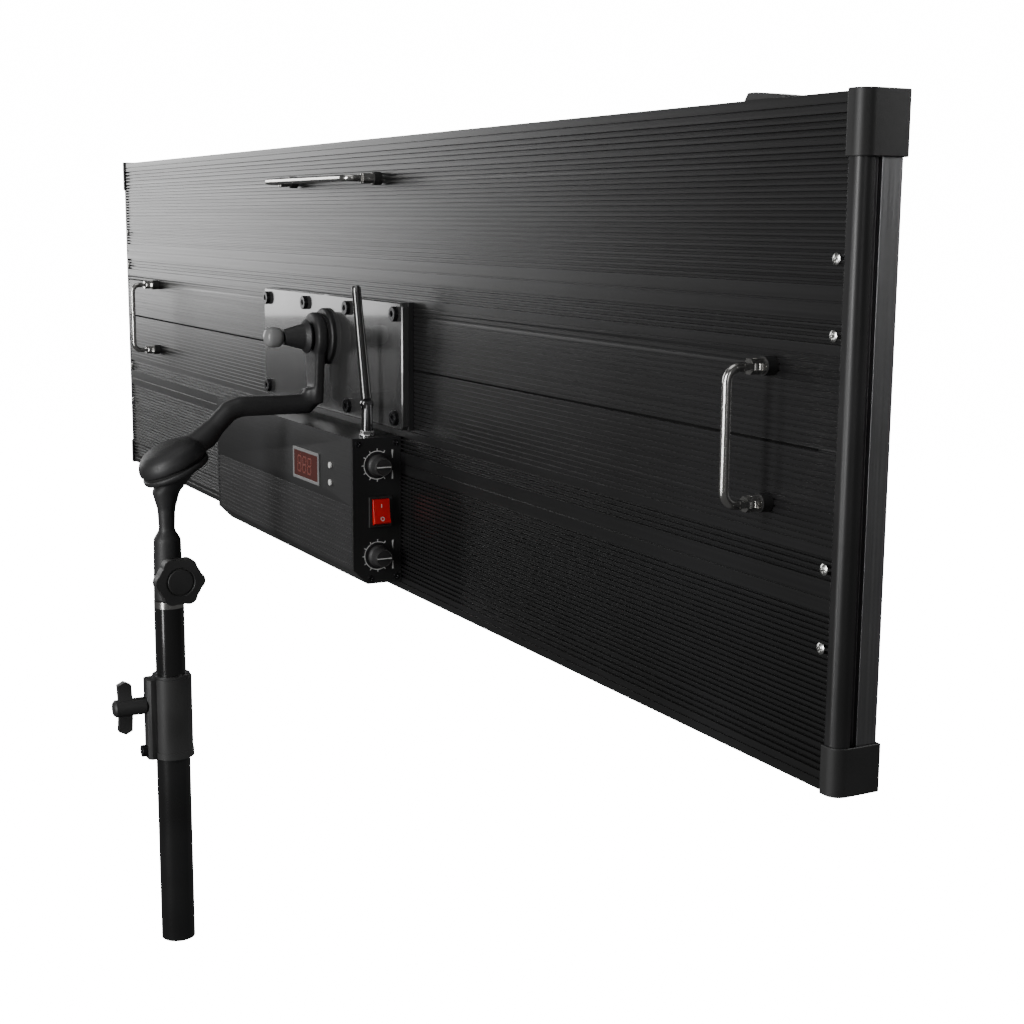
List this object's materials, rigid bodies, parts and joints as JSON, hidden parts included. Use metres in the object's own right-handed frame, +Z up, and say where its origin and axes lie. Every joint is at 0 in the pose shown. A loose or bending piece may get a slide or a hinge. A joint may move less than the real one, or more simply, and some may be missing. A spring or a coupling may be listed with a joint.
{
  "type": "led panel light",
  "caption": "Long studio LED panel light with a ribbed aluminium back, folding handles, a control box with dimmers and antenna, on a bent swivel arm and telescopic stand top.",
  "frame": {"origin": "centre of the pole's foot, on the pole's axis", "axes": "+Z up along the pole, X along the panel, the light shines towards -Y"},
  "size_m": [1.2024, 0.2052, 0.601],
  "materials": {
    "anodised_black": "satin black anodised extrusion",
    "antenna_black": "gloss sleeve",
    "black_paint": "satin black powder coat",
    "button_white": "satin",
    "cast_black": "matte black paint on a casting",
    "circuit_board": "solder mask",
    "diffuser": "lightly frosted clear sheet",
    "gloss_black": "gloss black enamel",
    "knob_grey": "light grey moulding",
    "led": "phosphor under silicone",
    "led_board": "white solder mask",
    "moulded_black": "fine moulded texture",
    "red_switch": "translucent red",
    "red_window": "tinted window",
    "reflector": "matte white",
    "screw_black": "black oxide",
    "silver": "brushed clear anodised",
    "steel": "satin chrome",
    "washer": "friction disc"
  },
  "bodies": {
    "stand": {"lower_tube": "cast_black", "collar": "moulded_black", "collar_bushing": "washer", "brake_pad": "washer", "collar_screw": "screw_black"},
    "wing_screw": {"wing_screw": "moulded_black"},
    "riser": {"riser_tube": "gloss_black", "spigot": "steel"},
    "receiver": {"receiver": "cast_black", "swivel_pin": "steel"},
    "receiver_knob": {"receiver_knob": "moulded_black"},
    "arm": {"support_arm": "cast_black", "swivel_washer": "washer"},
    "lock": {"lock_stem": "cast_black", "lock_knob": "knob_grey"},
    "panel": {"heatsink_upper": "anodised_black", "heatsink_lower": "anodised_black", "joining_strip": "black_paint", "end_column_near": "anodised_black", "end_column_far": "anodised_black", "corner_caps": "moulded_black", "bezel_top": "silver", "bezel_bottom": "silver", "bezel_near": "silver", "bezel_far": "silver", "diffuser": "diffuser", "reflector_sheet": "reflector", "led_boards": "led_board", "led_emitters": "led", "top_retainer": "moulded_black", "handle_bases": "moulded_black", "handle_forks": "steel", "handle_pins": "steel", "mounting_plate": "gloss_black", "plate_rails": "black_paint", "plate_screws": "screw_black", "roll_base": "cast_black", "roll_washer": "washer", "box_housing": "anodised_black", "box_end_near": "black_paint", "box_end_far": "black_paint", "control_board": "circuit_board", "display_module": "moulded_black", "display_window": "red_window", "switch_body": "moulded_black", "potentiometers": "steel", "power_inlet": "moulded_black", "antenna_socket": "steel"},
    "bow_near": {"handle_bow_near": "steel"},
    "bow_far": {"handle_bow_far": "steel"},
    "bow_top": {"handle_bow_top": "steel"},
    "button_up": {"button_up": "button_white"},
    "button_down": {"button_down": "button_white"},
    "rocker": {"rocker": "red_switch"},
    "dial_upper": {"dimmer_knob_upper": "moulded_black"},
    "dial_lower": {"dimmer_knob_lower": "moulded_black"},
    "antenna_base": {"antenna_base": "antenna_black"},
    "antenna_rod": {"antenna_rod": "antenna_black"}
  },
  "joints": [
    {"name": "riser_slide", "type": "slide", "parent": "stand", "child": "riser", "axis": [0, 0, 1], "range_m": [-0.045, 0.06]},
    {"name": "wing_screw_turn", "type": "hinge", "parent": "stand", "child": "wing_screw", "pos_m": [0, 0.03, 0.185], "axis": [0, 1, 0], "range_deg": [-180, 180]},
    {"name": "pan", "type": "hinge", "parent": "riser", "child": "receiver", "pos_m": [0, 0, 0.28], "axis": [0, 0, 1], "continuous": true},
    {"name": "receiver_knob_turn", "type": "hinge", "parent": "receiver", "child": "receiver_knob", "pos_m": [-0.02, 0, 0.2824], "axis": [1, 0, 0], "range_deg": [-180, 180]},
    {"name": "swivel", "type": "hinge", "parent": "receiver", "child": "arm", "pos_m": [0, -0.007, 0.3625], "axis": [0, 0.4067, 0.9135], "range_deg": [-90, 90]},
    {"name": "lock_turn", "type": "hinge", "parent": "panel", "child": "lock", "pos_m": [0, -0.1, 0.454], "axis": [0, 1, 0], "range_deg": [-180, 180]},
    {"name": "roll", "type": "hinge", "parent": "arm", "child": "panel", "pos_m": [0, -0.12, 0.454], "axis": [0, 1, 0], "range_deg": [-180, 180]},
    {"name": "fold_near", "type": "hinge", "parent": "panel", "child": "bow_near", "pos_m": [-0.5424, -0.1254, 0.442], "axis": [0, 0, 1], "range_deg": [-90, 90]},
    {"name": "fold_far", "type": "hinge", "parent": "panel", "child": "bow_far", "pos_m": [0.48, -0.1254, 0.442], "axis": [0, 0, 1], "range_deg": [-90, 90]},
    {"name": "fold_top", "type": "hinge", "parent": "panel", "child": "bow_top", "pos_m": [0, -0.1254, 0.569], "axis": [1, 0, 0], "range_deg": [-90, 90]},
    {"name": "press_up", "type": "slide", "parent": "panel", "child": "button_up", "axis": [0, -1, 0], "range_m": [0, 0.0006], "stiffness_N_per_m": 800, "springref_m": -0.0005},
    {"name": "press_down", "type": "slide", "parent": "panel", "child": "button_down", "axis": [0, -1, 0], "range_m": [0, 0.0006], "stiffness_N_per_m": 800, "springref_m": -0.0005},
    {"name": "switch_rock", "type": "hinge", "parent": "panel", "child": "rocker", "pos_m": [-0.1165, -0.1196, 0.3386], "axis": [0, 1, 0], "range_deg": [-20, 0]},
    {"name": "dimmer_upper", "type": "hinge", "parent": "panel", "child": "dial_upper", "pos_m": [-0.118, -0.1177, 0.3716], "axis": [1, 0, 0], "range_deg": [-150, 150]},
    {"name": "dimmer_lower", "type": "hinge", "parent": "panel", "child": "dial_lower", "pos_m": [-0.118, -0.1177, 0.3071], "axis": [1, 0, 0], "range_deg": [-150, 150]},
    {"name": "antenna_turn", "type": "hinge", "parent": "panel", "child": "antenna_base", "pos_m": [-0.106, -0.1145, 0.395], "axis": [0, 0, 1], "range_deg": [-90, 90]},
    {"name": "antenna_fold", "type": "hinge", "parent": "antenna_base", "child": "antenna_rod", "pos_m": [-0.106, -0.1145, 0.4135], "axis": [-1, 0, 0], "range_deg": [-5.2, 84.8]}
  ]
}
